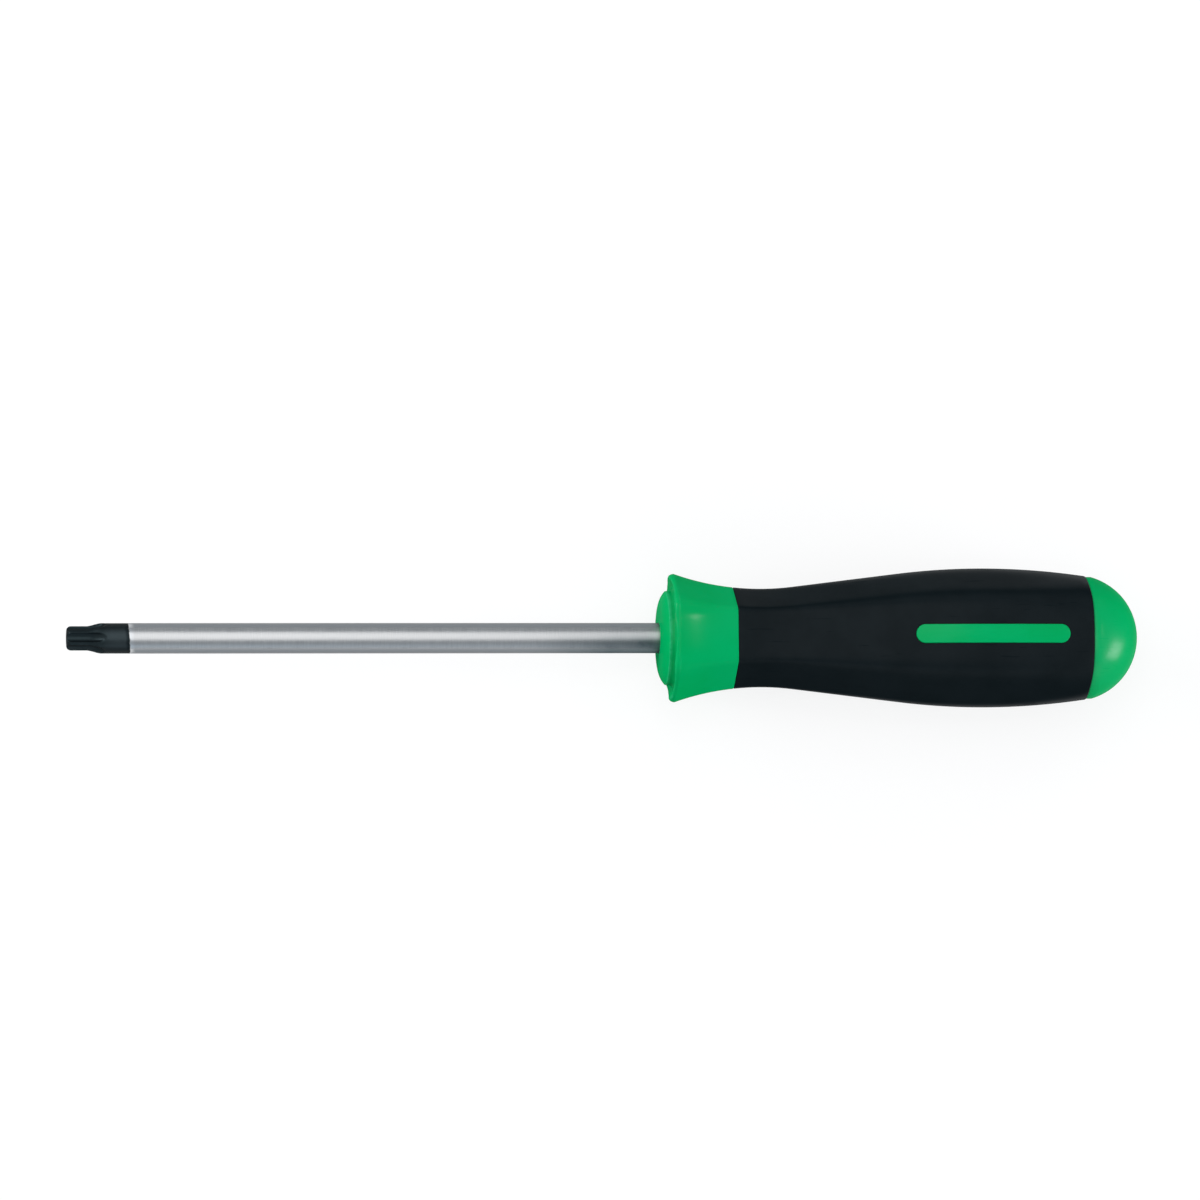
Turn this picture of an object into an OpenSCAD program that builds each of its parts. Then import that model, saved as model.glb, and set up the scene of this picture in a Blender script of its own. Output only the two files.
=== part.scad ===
// Fixed-blade security screwdriver with a six-lobe tip and a two-colour hexagonal handle.
// Lengths are in millimetres. X runs along the blade from the end of the tip towards the handle.
// Z is up, and one flat of the handle faces up. Places along the handle are measured from its nose.

/* [Blade] */
// Free length of the blade, from the end of the tip to the nose of the handle
reach = 137.1; // [60:0.1:250]
// Diameter of the round shank
shank_d = 7; // [6.4:0.1:9]
// Depth by which the tang inside the handle is thinner than the shank, per side
tang_relief = 0.3; // [0.2:0.05:0.6]
// Length of the tang inside the handle
tang_len = 72; // [60:1:78]
// Chamfer on the rear end of the tang
tang_chamfer = 1; // [0.4:0.1:1.5]
// How far each pressed wing stands out of the tang
wing_out = 2; // [1:0.1:2.6]
// Thickness of a wing
wing_thick = 2.2; // [1.4:0.1:3]
// Length of a wing along the tang
wing_len = 11; // [6:0.5:13]
// Distance from the rear end of the tang to the rear pair of wings
wing_back = 4; // [2:0.5:6]
// Distance between the two pairs of wings
wing_gap = 5; // [2:0.5:8]

/* [Drive tip] */
// Diameter across the lobes
star_d = 5.6; // [4.4:0.05:6]
// Diameter across the bottoms of the flutes
star_root_d = 4.05; // [3.7:0.05:4.4]
// Radius of a flute
flute_r = 1.2; // [0.9:0.05:1.4]
// Number of lobes
lobes = 6; // [5:1:6]
// Length of the lobed end, up to the flare
tip_len = 4.8; // [3:0.1:8]
// Length of the flare from the lobed end to the shank
flare_len = 3.1; // [1.5:0.1:6]
// Bending radius with which a flute runs out through the flare
runout_r = 6.6; // [4:0.1:12]
// Length of the chamfer at the end of the tip
tip_chamfer_len = 1.1; // [0.5:0.1:2]
// Depth of the chamfer at the end of the tip
tip_chamfer = 0.95; // [0.4:0.05:1]
// Diameter of the hole that clears the pin in a security screw
pin_hole_d = 2.6; // [1.8:0.1:2.8]
// Depth of the pin hole
pin_hole_depth = 4; // [2:0.1:6]

/* [Handle outline] */
// Length of the handle, from its nose to the end of the dome
handle_len = 112.1; // [104:0.1:125]
// Width of the collar's rim across corners
rim_corners = 29.8; // [28:0.1:34]
// Width of the collar's rim across flats
rim_flats = 27.2; // [26.4:0.1:29]
// Place of the narrowest section
neck_at = 23.8; // [21:0.1:28]
// Width of the neck across corners
neck_corners = 22.9; // [22:0.1:26]
// Width of the neck across flats
neck_flats = 20.3; // [19.4:0.1:21.4]
// Distance from the end of the dome to the thickest section
belly_back = 36.3; // [32:0.1:42]
// Width of the belly across corners
belly_corners = 32.4; // [31:0.1:38]
// Width of the belly across flats
belly_flats = 29.6; // [27:0.1:30.6]
// Slope of the straight stretch between neck and belly, against the slope of their chord
taper_ratio = 1.35; // [1.1:0.05:1.9]
// Share of the two blending radii that belongs to the neck
neck_share = 0.27; // [0.15:0.01:0.6]
// How far the corners fall from the belly to the rear end of the grip
corner_drop = 1.8; // [0.8:0.05:2.4]
// How far the flats fall from the belly to the rear end of the grip
flat_drop = 0.9; // [0.5:0.05:2]

/* [Front collar] */
// Place where the collar ends and the grip starts
collar_len = 17.4; // [14:0.1:20]
// Place where the rounding of the rim starts
lip_at = 1.8; // [1.4:0.1:3]
// Rounding of the rim's front edge
rim_round = 1.8; // [0.8:0.1:2]
// Diameter of the nose
nose_d = 21.8; // [18:0.1:23]
// Diameter of the flat front of the nose
nose_flat_d = 14; // [10:0.1:17]
// How far the rounded edge of the nose drops behind its flat front
nose_drop = 1.5; // [0.8:0.1:1.7]
// Radius of the cove between nose and rim
cove_r = 1; // [0.5:0.05:1.2]
// Place of the bottom of the cove
cove_at = 3.3; // [2.9:0.1:4.5]
// Angle by which the dished front of the rim leans forwards from the cove
dish = 30; // [10:1:45]

/* [Grip sleeve] */
// Wall of the soft grip over the core
sleeve_wall = 2.6; // [2:0.1:3]
// Depth of the lock grooves below the flats of the core
lock_depth = 1; // [0.4:0.1:1.5]
// Width of a lock groove
lock_w = 3; // [1.5:0.1:5]
// Place of the first lock groove
lock_at = 34; // [30:0.5:40]
// Distance from one lock groove to the next
lock_pitch = 15; // [10:0.5:16]
// Number of lock grooves
lock_count = 4; // [1:1:4]

/* [Core] */
// Place of the front end of the core inside the collar
core_front = 7; // [6:0.1:10]
// Distance from the rear end of the grip to the rear end of the core inside it
core_back = 4.2; // [3:0.1:6]

/* [End cap] */
// Length of the cap behind the grip
cap_len = 12.1; // [9:0.1:14]
// Length of the straight land on the cap before the dome starts
cap_land = 1.4; // [0.5:0.1:2.5]
// How far the cap lies below the grip where they meet
cap_step = 0.2; // [0.1:0.05:0.6]
// Distance past the end of the dome at which its flats would meet the axis
flat_fade = 0.3; // [0.2:0.1:2]
// Diameter of the spigot that holds the cap
spigot_d = 10; // [6:0.1:14]
// Length of the spigot
spigot_len = 13; // [8:0.5:15]
// Chamfer on the end of the spigot
spigot_chamfer = 0.8; // [0.3:0.1:1.5]
// Height of the holding bead on the spigot
bead_h = 0.35; // [0.2:0.05:0.6]
// Distance from the end of the spigot to the bead
bead_back = 3; // [2.5:0.1:5]

/* [Inlay] */
// Distance from the rear end of the grip to the inlay
inlay_back = 5.7; // [4:0.1:12]
// Length of the inlay
inlay_len = 36; // [16:0.5:40]
// Width of the inlay
inlay_w = 4.4; // [2:0.1:8]
// Depth of the inlay in the grip
inlay_depth = 1.2; // [0.6:0.1:1.6]

/* [Fits] */
// Clearance between pieces that are moulded or pressed together
part_gap = 0.05; // [0.02:0.01:0.1]

/* [Hidden] */
$fn = 72;
steel = "#a9b0b3";
hard_grey = "#8c8f8a";
green = "#06a65c";
black = "#1d2528";
// Flats of the handle and the step from one pair to the next
flat_pairs = 3;
flat_step = 180 / flat_pairs;
// Longest stretch of an outline that is drawn straight, and pieces of a rounded one
station = 4;
arc_steps = 8;
// Reach of a cutter past the face that it opens
cut = 1;
// Width that is more than any section
wide = 2 * (rim_corners + belly_corners);

shank_r = shank_d / 2;
tang_r = shank_r - tang_relief;
rim_at = lip_at + rim_round;
nose_r = nose_d / 2;
nose_flat_r = nose_flat_d / 2;
nose_edge_r = ((nose_r - nose_flat_r) ^ 2 + nose_drop ^ 2) / (2 * nose_drop);
nose_turn = atan2(nose_r - nose_flat_r, nose_edge_r - nose_drop);
belly_at = handle_len - belly_back;
cap_at = handle_len - cap_len;
dome_at = cap_at + cap_land;
core_rear = cap_at - core_back;
inlay_at = cap_at - inlay_back - inlay_len / 2;
run = belly_at - neck_at;

// Half widths of the handle as [rim, neck, belly, rear end of the grip], at its corners and at its flats
corners = [rim_corners, neck_corners, belly_corners, belly_corners - 2 * corner_drop] / 2;
flats = [rim_flats, neck_flats, belly_flats, belly_flats - 2 * flat_drop] / 2;

// Stretch between neck and belly: a hollow arc, a straight taper and a full arc, tangent to each other
function taper(w) = taper_ratio * atan((w[2] - w[1]) / run);
function arcs_r(w) = (run - (w[2] - w[1]) / tan(taper(w))) / tan(taper(w) / 2);
function neck_arc(w) = neck_share * arcs_r(w);
function belly_arc(w) = (1 - neck_share) * arcs_r(w);
function flare_arc(w) = ((neck_at - rim_at) ^ 2 + (w[0] - w[1]) ^ 2) / (2 * (w[0] - w[1]));
function rear_arc(w) = ((cap_at - belly_at) ^ 2 + (w[2] - w[3]) ^ 2) / (2 * (w[2] - w[3]));

// Half width of the handle at place s, from the collar to the cap
function hollow(s, w, r) = w[1] + r - sqrt(r ^ 2 - (s - neck_at) ^ 2);
function full(s, w, r) = w[2] - r + sqrt(r ^ 2 - (s - belly_at) ^ 2);
function straight(s, w) = hollow(taper_at(w), w, neck_arc(w)) + (s - taper_at(w)) * tan(taper(w));
function taper_at(w) = neck_at + neck_arc(w) * sin(taper(w));
function taper_end(w) = belly_at - belly_arc(w) * sin(taper(w));
function half(s, w) =
    s < neck_at ? hollow(s, w, flare_arc(w)) :
    s < taper_at(w) ? hollow(s, w, neck_arc(w)) :
    s < taper_end(w) ? straight(s, w) :
    s < belly_at ? full(s, w, belly_arc(w)) : full(s, w, rear_arc(w));
function core_half(s, w) = half(max(s, neck_at), w) - sleeve_wall;

// Places from one end of a stretch to the other, no further apart than a station
function places(from, to) =
    let (n = ceil((to - from) / station))
    [for (i = [0 : n]) from + (to - from) * i / n];
function grip_line(from, to, w) = [for (s = places(from, to)) [s, half(s, w)]];
function core_places(from, to) =
    to <= neck_at ? [from, to] :
    from < neck_at ? concat([from], places(neck_at, to)) : places(from, to);
function core_line(from, to, w, grow = 0) = [for (s = core_places(from, to)) [s, core_half(s, w) + grow]];
function rim_line(w) =
    concat(
        [for (i = [0 : arc_steps - 1]) let (a = 90 * i / arc_steps)
            [lip_at + rim_round * (1 - cos(a)), w[0] - rim_round * (1 - sin(a))]],
        grip_line(rim_at, collar_len, w)
    );

// The cap's land and its dome, an arc whose centre lies on the axis and which ends at place tail
function cap_half(w) = half(cap_at, w) - cap_step;
function dome_r(w, tail) = ((tail - dome_at) ^ 2 + cap_half(w) ^ 2) / (2 * (tail - dome_at));
function cap_line(w, tail) =
    let (r = dome_r(w, tail), c = tail - r, open = atan2(cap_half(w), dome_at - c))
    concat(
        [[cap_at, cap_half(w)]],
        [for (i = [0 : arc_steps]) let (a = open * (1 - i / arc_steps)) [c + r * cos(a), r * sin(a)]]
    );

// Outline from place to place, closed along the axis
function closed(line) = concat([[line[0].x, 0]], line, [[line[len(line) - 1].x, 0]]);

// Body turned about the X axis
module turned(line) {
    rotate([0, 90, 0])
        rotate_extrude()
            mirror([1, -1, 0])
                polygon(closed(line));
}

// Slab between one pair of flats
module slab(line) {
    rotate([90, 0, 0])
        linear_extrude(wide, center = true)
            polygon(concat(line, [for (i = [len(line) - 1 : -1 : 0]) [line[i].x, -line[i].y]]));
}

// Six-sided body with flats along flat_line and its corners turned to corner_line
module six_sided(corner_line, flat_line) {
    intersection() {
        turned(corner_line);
        intersection_for (i = [0 : flat_pairs - 1])
            rotate([flat_step * i, 0, 0])
                slab(flat_line);
    }
}

// Round bar along X
module bar(from, to, r, r_end = undef) {
    translate([from, 0, 0])
        rotate([0, 90, 0])
            cylinder(h = to - from, r1 = r, r2 = is_undef(r_end) ? r : r_end);
}

// Body of the core between two places, with the clearance added where another piece is cut to it
module core_blank(from, to, grow = 0) {
    six_sided(core_line(from, to, corners, grow), core_line(from, to, flats, grow));
}

// Rings of the grip that fill the lock grooves of the core
module lock_rings(shrink = 0) {
    for (i = [0 : lock_count - 1]) {
        s = lock_at + lock_pitch * i;
        difference() {
            bar(s + shrink, s + lock_w - shrink, wide);
            bar(s, s + lock_w, core_half(s, flats) - lock_depth + shrink);
        }
    }
}

// Tang of the blade inside the handle, from the nose to its rear end
module tang(grow = 0) {
    bar(0, tang_len - tang_chamfer + grow, tang_r + grow);
    bar(tang_len - tang_chamfer, tang_len, tang_r, tang_r - tang_chamfer);
    for (i = [0 : 1])
        translate([tang_len - wing_back - i * (wing_len + wing_gap) - wing_len / 2, 0, 0])
            rotate([90 * i, 0, 0])
                cube([wing_len, wing_thick, 2 * (tang_r + wing_out)] + [1, 1, 1] * 2 * grow, center = true);
}

// One flute of the tip, straight along the lobes and then bending outwards through the flare
module flute() {
    off = star_root_d / 2 + flute_r;
    translate([0, 0, off])
        bar(-cut, tip_len, flute_r);
    translate([tip_len, 0, off + runout_r])
        rotate([90, 0, 0])
            rotate_extrude(angle = 90, start = -90)
                translate([runout_r, 0])
                    circle(flute_r);
}

module blade() {
    star_r = star_d / 2;
    flare_end = tip_len + flare_len;
    color(steel) {
        difference() {
            union() {
                bar(0, tip_chamfer_len, star_r - tip_chamfer, star_r);
                bar(tip_chamfer_len, tip_len, star_r);
                bar(tip_len, flare_end, star_r, shank_r);
                bar(flare_end, reach, shank_r);
            }
            for (i = [0 : lobes - 1])
                rotate([360 * i / lobes, 0, 0])
                    flute();
            bar(-cut, pin_hole_depth, pin_hole_d / 2);
        }
        translate([reach, 0, 0])
            tang();
    }
}

module handle_core() {
    color(hard_grey)
        translate([reach, 0, 0])
            difference() {
                core_blank(core_front, core_rear);
                lock_rings();
                tang(part_gap);
                spigot(part_gap);
            }
}

// Front of the collar from the axis outwards: the flat nose, its rounded edge, the cove and the dish of the rim
function nose_line() = [for (i = [0 : arc_steps]) let (a = nose_turn * i / arc_steps)
    [nose_edge_r * (1 - cos(a)), nose_flat_r + nose_edge_r * sin(a)]];
function cove_line() = [for (i = [0 : arc_steps]) let (a = (90 + dish) * i / arc_steps)
    [cove_at - cove_r * (1 - sin(a)), nose_r + cove_r * (1 - cos(a))]];
function dish_line() =
    let (foot = cove_line()[arc_steps], r = rim_corners / 2 + cut)
    [[foot.x - (r - foot.y) * tan(dish), r], [-r, r]];

module front_collar() {
    color(green)
        translate([reach, 0, 0])
            difference() {
                union() {
                    six_sided(rim_line(corners), rim_line(flats));
                    bar(-cut / 2, cove_at + cut, nose_r + cove_r);
                }
                turned(concat(nose_line(), cove_line(), dish_line()));
                bar(-cut, core_front + cut, tang_r + part_gap);
                core_blank(core_front - part_gap, collar_len + cut, part_gap);
            }
}

module grip_sleeve() {
    color(black)
        translate([reach, 0, 0])
            difference() {
                six_sided(grip_line(collar_len, cap_at, corners), grip_line(collar_len, cap_at, flats));
                difference() {
                    core_blank(collar_len - cut, cap_at + cut, part_gap);
                    lock_rings(part_gap);
                }
                inlay(part_gap);
            }
}

// Spigot of the cap with its holding bead, in the rear of the core
module spigot(grow = 0) {
    tail = core_rear - spigot_len;
    r = spigot_d / 2;
    bead = tail + bead_back;
    bar(tail - grow, tail + spigot_chamfer, r - spigot_chamfer + grow, r + grow);
    bar(tail + spigot_chamfer, core_rear + cut, r + grow);
    bar(bead - bead_h - grow, bead, r + grow - bead_h, r + bead_h + grow);
    bar(bead, bead + 2 * bead_h + grow, r + bead_h + grow, r + grow - bead_h);
}

module end_cap() {
    color(green)
        translate([reach, 0, 0]) {
            six_sided(cap_line(corners, handle_len), cap_line(flats, handle_len + flat_fade));
            core_blank(core_rear, cap_at + cut);
            spigot();
        }
}

// Bar with round ends that follows the upper flat of the grip
module inlay(grow = 0) {
    r = inlay_w / 2 + grow;
    reach_out = inlay_len / 2 - inlay_w / 2;
    intersection() {
        translate([inlay_at, 0, 0])
            linear_extrude(wide)
                union() {
                    square([2 * reach_out, 2 * r], center = true);
                    for (side = [-1, 1])
                        translate([side * reach_out, 0])
                            circle(r);
                }
        rotate([90, 0, 0])
            linear_extrude(wide, center = true)
                polygon(concat(
                    [for (s = places(collar_len, cap_at)) [s, half(s, flats) + (grow > 0 ? cut : 0)]],
                    [for (s = places(-cap_at, -collar_len)) [-s, half(-s, flats) - inlay_depth - grow]]
                ));
    }
}

module grip_inlay() {
    color(green)
        translate([reach, 0, 0])
            inlay();
}

blade();
handle_core();
front_collar();
grip_sleeve();
end_cap();
grip_inlay();
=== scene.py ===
from math import acos, atan, atan2, cos, pi, radians, sin, sqrt, tan

import bmesh
import bpy
from mathutils import Matrix, Vector


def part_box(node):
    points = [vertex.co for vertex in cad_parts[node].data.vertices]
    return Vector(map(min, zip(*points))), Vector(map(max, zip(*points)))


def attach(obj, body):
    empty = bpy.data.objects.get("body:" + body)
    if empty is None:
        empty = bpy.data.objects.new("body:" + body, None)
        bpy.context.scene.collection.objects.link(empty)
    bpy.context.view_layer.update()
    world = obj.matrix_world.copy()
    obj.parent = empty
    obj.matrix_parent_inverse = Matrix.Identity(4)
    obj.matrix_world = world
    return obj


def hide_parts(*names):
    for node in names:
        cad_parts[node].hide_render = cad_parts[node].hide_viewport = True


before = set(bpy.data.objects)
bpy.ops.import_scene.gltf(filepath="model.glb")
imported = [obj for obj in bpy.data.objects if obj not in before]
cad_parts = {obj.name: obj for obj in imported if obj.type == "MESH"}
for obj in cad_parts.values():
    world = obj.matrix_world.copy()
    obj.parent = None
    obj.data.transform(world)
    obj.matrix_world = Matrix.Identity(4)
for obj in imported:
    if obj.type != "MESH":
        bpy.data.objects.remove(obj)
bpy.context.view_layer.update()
scene = bpy.context.scene
mm = 0.001
mergeDist = 1e-4   # mm between points that count as one
closeR = 0.01      # mm, a ring so small closes an end

# main places along the tool, in mm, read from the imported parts
collarBox = [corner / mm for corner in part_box("front_collar")]
gripBox = [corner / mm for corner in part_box("grip_sleeve")]
capBox = [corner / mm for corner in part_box("end_cap")]
bladeBox = [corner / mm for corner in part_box("blade")]
noseX = collarBox[0].x
collarEnd = gripBox[0].x - noseX
capStart = gripBox[1].x - noseX
handleEnd = capBox[1].x - noseX
lowestZ = min(collarBox[0].z, gripBox[0].z)

# the handle's outline in mm, with places counted from the nose
# half widths are given as (rim, neck, belly, rear of the grip)
handle = {
    "corners": (collarBox[1].y, 11.45, gripBox[1].y, gripBox[1].y - 1.8),
    "flats": (13.6, 10.15, gripBox[1].z, gripBox[1].z - 0.9),
    "rimAt": 3.6,
    "neckAt": 23.8,
    "bellyAt": handleEnd - 36.3,
    "taperRatio": 1.35,   # slope of the straight stretch against its chord
    "neckShare": 0.27,    # share of the blending radii that the neck gets
    "wall": 2.6,          # soft grip over the core
    "coreGap": 0.1,       # room round the core
    "sides": 6,
    "steps": 24,          # points on one side of the hexagon
    "cornerBias": 1.5,    # crowds the points towards the corners
}


def halfWidth(s, w):
    rim, neck, belly, rear = w
    neckAt, bellyAt = handle["neckAt"], handle["bellyAt"]
    run = bellyAt - neckAt
    if s < neckAt:
        r = ((neckAt - handle["rimAt"]) ** 2 + (rim - neck) ** 2) / (2 * (rim - neck))
        return neck + r - sqrt(r * r - (s - neckAt) ** 2)
    slope = handle["taperRatio"] * atan((belly - neck) / run)
    radii = (run - (belly - neck) / tan(slope)) / tan(slope / 2)
    neckR = radii * handle["neckShare"]
    bellyR = radii - neckR
    taperAt = neckAt + neckR * sin(slope)
    if s < taperAt:
        return neck + neckR - sqrt(neckR ** 2 - (s - neckAt) ** 2)
    if s < bellyAt - bellyR * sin(slope):
        return neck + neckR * (1 - cos(slope)) + (s - taperAt) * tan(slope)
    if s > bellyAt:
        bellyR = ((capStart - bellyAt) ** 2 + (belly - rear) ** 2) / (2 * (belly - rear))
    return belly - bellyR + sqrt(bellyR ** 2 - (s - bellyAt) ** 2)


# soft hexagon: six planes blended, sharper with a higher power, and round at 4
def softHexagon(angle, power):
    planes = [max(0.0, cos(angle - k * pi / 3)) for k in range(6)]
    return sum(c ** power for c in planes) ** (-1 / power)


# power at which the soft hexagon has these half widths
def hexPower(flat, corner):
    low, high, halvings = 4.0, 60.0, 30
    for _ in range(halvings):
        middle = (low + high) / 2
        tooRound = softHexagon(0, middle) / softHexagon(pi / 6, middle) > flat / corner
        low, high = (middle, high) if tooRound else (low, middle)
    return low


def hexRing(x, corner, flat):
    power = hexPower(flat, corner)
    scale = corner / softHexagon(pi / 6, power)
    return x, lambda angle: scale * softHexagon(angle, power)


def roundRing(x, r):
    return x, lambda angle: r


# draws a ring of points round the X axis and pulls it from ring to ring, each as (place, radius by angle)
def loft(rings, sides, stepsPerSide, bias, closed):
    bm = bmesh.new()
    first = bmesh.ops.create_circle(bm, segments=sides * stepsPerSide, radius=1)["verts"]
    sector = 2 * pi / sides
    for v in first:
        angle = atan2(v.co.y, v.co.x)
        middle = round(angle / sector) * sector
        share = (angle - middle) / (sector / 2)
        pull = 1 - (1 - min(1, abs(share))) ** bias
        angle = middle + (pull if share > 0 else -pull) * sector / 2
        v.co = (0, sin(angle), cos(angle))
    ringVerts = first
    ringEdges = list(bm.edges)
    startEdges = ringEdges
    for index, (x, shape) in enumerate(rings):
        if index:
            grown = bmesh.ops.extrude_edge_only(bm, edges=ringEdges)["geom"]
            ringVerts = [g for g in grown if isinstance(g, bmesh.types.BMVert)]
            ringEdges = [g for g in grown if isinstance(g, bmesh.types.BMEdge)]
            ringSet = set(ringVerts)
            ringEdges = [e for e in ringEdges if e.verts[0] in ringSet and e.verts[1] in ringSet]
        for v in ringVerts:
            angle = atan2(v.co.y, v.co.z)
            r = shape(angle)
            v.co = (x(angle) if callable(x) else x, r * sin(angle), r * cos(angle))
    if closed:
        bmesh.ops.bridge_loops(bm, edges=startEdges + ringEdges)
    return bm


def finishPiece(name, bm, node, material, sharpAngle=40):
    bmesh.ops.remove_doubles(bm, verts=bm.verts, dist=mergeDist)
    bmesh.ops.recalc_face_normals(bm, faces=bm.faces)
    bmesh.ops.scale(bm, verts=bm.verts, vec=(mm, mm, mm))
    mesh = bpy.data.meshes.new(name)
    bm.to_mesh(mesh)
    bm.free()
    mesh.materials.append(material)
    mesh.shade_smooth()
    mesh.set_sharp_from_angle(angle=radians(sharpAngle))
    piece = bpy.data.objects.new(name, mesh)
    scene.collection.objects.link(piece)
    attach(piece, "root")
    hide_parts(node)
    print(name, "made,", len(mesh.polygons), "faces")
    return piece


def spread(start, end, count):
    return [start + (end - start) * i / count for i in range(count + 1)]


# quarter-round edge as (distance from the end face, distance below the side)
def roundOver(size, count=4):
    return [(size * (1 - cos(turn)), size * (1 - sin(turn))) for turn in spread(0, pi / 2, count)]


# shader helpers
def newGroup(name, inputs, outputs):
    group = bpy.data.node_groups.new(name, "ShaderNodeTree")
    for label, value in inputs.items():
        group.interface.new_socket(label, in_out="INPUT", socket_type="NodeSocketFloat").default_value = value
    for label in outputs:
        group.interface.new_socket(label, in_out="OUTPUT", socket_type="NodeSocketFloat")
    return group, group.nodes.new("NodeGroupInput"), group.nodes.new("NodeGroupOutput")


def addNode(tree, kind, **settings):
    node = tree.nodes.new(kind)
    for key, value in settings.items():
        setattr(node, key, value)
    return node


def setInputs(node, **values):
    for key, value in values.items():
        node.inputs[key.replace("_", " ")].default_value = value
    return node


def mathNode(tree, operation, a, b=None):
    node = addNode(tree, "ShaderNodeMath", operation=operation)
    for socket, value in zip(node.inputs, (a, b)):
        if value is None:
            continue
        if isinstance(value, (int, float)):
            socket.default_value = value
        else:
            tree.links.new(value, socket)
    return node.outputs[0]


def mapRange(tree, value, low, high, toLow=0.0, toHigh=1.0):
    node = addNode(tree, "ShaderNodeMapRange", interpolation_type="SMOOTHSTEP")
    tree.links.new(value, node.inputs["Value"])
    setInputs(node, From_Min=low, From_Max=high, To_Min=toLow, To_Max=toHigh)
    return node.outputs["Result"]


noiseSpan = (0.3, 0.7)   # where most of a noise lies


def spanNoise(tree, noise, toLow=0.0, toHigh=1.0):
    return mapRange(tree, noise, *noiseSpan, toLow, toHigh)


def inMetres(span):
    return [length * mm for length in span]


def noiseNode(tree, vector, scale, detail=3.0, roughness=0.55):
    node = addNode(tree, "ShaderNodeTexNoise")
    tree.links.new(vector, node.inputs["Vector"])
    if isinstance(scale, (int, float)):
        node.inputs["Scale"].default_value = scale
    else:
        tree.links.new(scale, node.inputs["Scale"])
    setInputs(node, Detail=detail, Roughness=roughness)
    return node.outputs["Fac"]


def mixColour(tree, factor, a, b):
    node = addNode(tree, "ShaderNodeMix", data_type="RGBA")
    tree.links.new(factor, node.inputs["Factor"])
    for label, value in (("A", a), ("B", b)):
        socket = [s for s in node.inputs if s.name == label and s.type == "RGBA"][0]
        if isinstance(value, tuple):
            socket.default_value = (*value, 1)
        else:
            tree.links.new(value, socket)
    return [s for s in node.outputs if s.type == "RGBA"][0]


# fine moulded grain and slow cloudy variation, both on object coordinates
def makeGrainGroup():
    scales = {"Grain Scale": 3000.0, "Cloud Scale": 60.0}
    group, given, out = newGroup("mouldedGrain", scales, ("Grain", "Cloud"))
    place = addNode(group, "ShaderNodeTexCoord").outputs["Object"]
    grain = noiseNode(group, place, given.outputs["Grain Scale"], detail=2.0, roughness=0.5)
    cloud = noiseNode(group, place, given.outputs["Cloud Scale"], detail=4.0, roughness=0.6)
    group.links.new(grain, out.inputs["Grain"])
    group.links.new(cloud, out.inputs["Cloud"])
    return group


edgeBreak = {"span": (0.3, 0.65), "share": (0.35, 1.0)}


# mask of the outer edges, broken up by noise
def makeEdgeGroup():
    group, given, out = newGroup("convexEdges", {"Start": 0.52, "Full": 0.6, "Break Scale": 900.0}, ("Edge",))
    point = addNode(group, "ShaderNodeNewGeometry").outputs["Pointiness"]
    place = addNode(group, "ShaderNodeTexCoord").outputs["Object"]
    ramp = addNode(group, "ShaderNodeMapRange", interpolation_type="SMOOTHSTEP")
    group.links.new(point, ramp.inputs["Value"])
    group.links.new(given.outputs["Start"], ramp.inputs["From Min"])
    group.links.new(given.outputs["Full"], ramp.inputs["From Max"])
    noise = noiseNode(group, place, given.outputs["Break Scale"])
    broken = mapRange(group, noise, *edgeBreak["span"], *edgeBreak["share"])
    group.links.new(mathNode(group, "MULTIPLY", ramp.outputs["Result"], broken), out.inputs["Edge"])
    return group


scuffs = {
    "sets": ((0.4, (1.0, 14.0, 3.0)), (-0.9, (1.0, 18.0, 4.0))),   # turn and stretch of each
    "tilt": (0.2, 0.1),
    "softness": 0.08,
}


# thin handling scratches in two directions
def makeScuffGroup():
    group, given, out = newGroup("handlingScuffs", {"Scale": 160.0, "Cover": 0.62}, ("Scuff",))
    place = addNode(group, "ShaderNodeTexCoord").outputs["Object"]
    marks = []
    for turn, stretch in scuffs["sets"]:
        mapping = addNode(group, "ShaderNodeMapping")
        group.links.new(place, mapping.inputs["Vector"])
        setInputs(mapping, Rotation=(*scuffs["tilt"], turn), Scale=stretch)
        noise = noiseNode(group, mapping.outputs["Vector"], given.outputs["Scale"], detail=2.0, roughness=0.5)
        over = mathNode(group, "SUBTRACT", noise, given.outputs["Cover"])
        marks.append(mapRange(group, over, 0.0, scuffs["softness"]))
    group.links.new(mathNode(group, "MAXIMUM", *marks), out.inputs["Scuff"])
    return group


grainGroup = makeGrainGroup()
edgeGroup = makeEdgeGroup()
scuffGroup = makeScuffGroup()


def useGroup(tree, group, **values):
    node = addNode(tree, "ShaderNodeGroup", node_tree=group)
    return setInputs(node, **values)


def newMaterial(name):
    material = bpy.data.materials.new(name)
    material.use_nodes = True
    tree = material.node_tree
    return material, tree, tree.nodes["Principled BSDF"]


def addBump(tree, shader, height, strength, distance):
    bump = addNode(tree, "ShaderNodeBump")
    setInputs(bump, Strength=strength, Distance=distance)
    tree.links.new(height, bump.inputs["Height"])
    tree.links.new(bump.outputs["Normal"], shader.inputs["Normal"])


def setRoughness(tree, shader, mask, limits):
    tree.links.new(spanNoise(tree, mask, *limits), shader.inputs["Roughness"])


# how the gloss changes from where a surface faces the eye, 0, to its outline, 1
filmFade = {
    "turned": (0.15, 0.5),
    "outlineWidth": 0.22,
    "rim": (0.78, 0.95),
    "rimShare": 0.1,
    "scuffShare": 0.55,   # gloss left in a scratch
}


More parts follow.
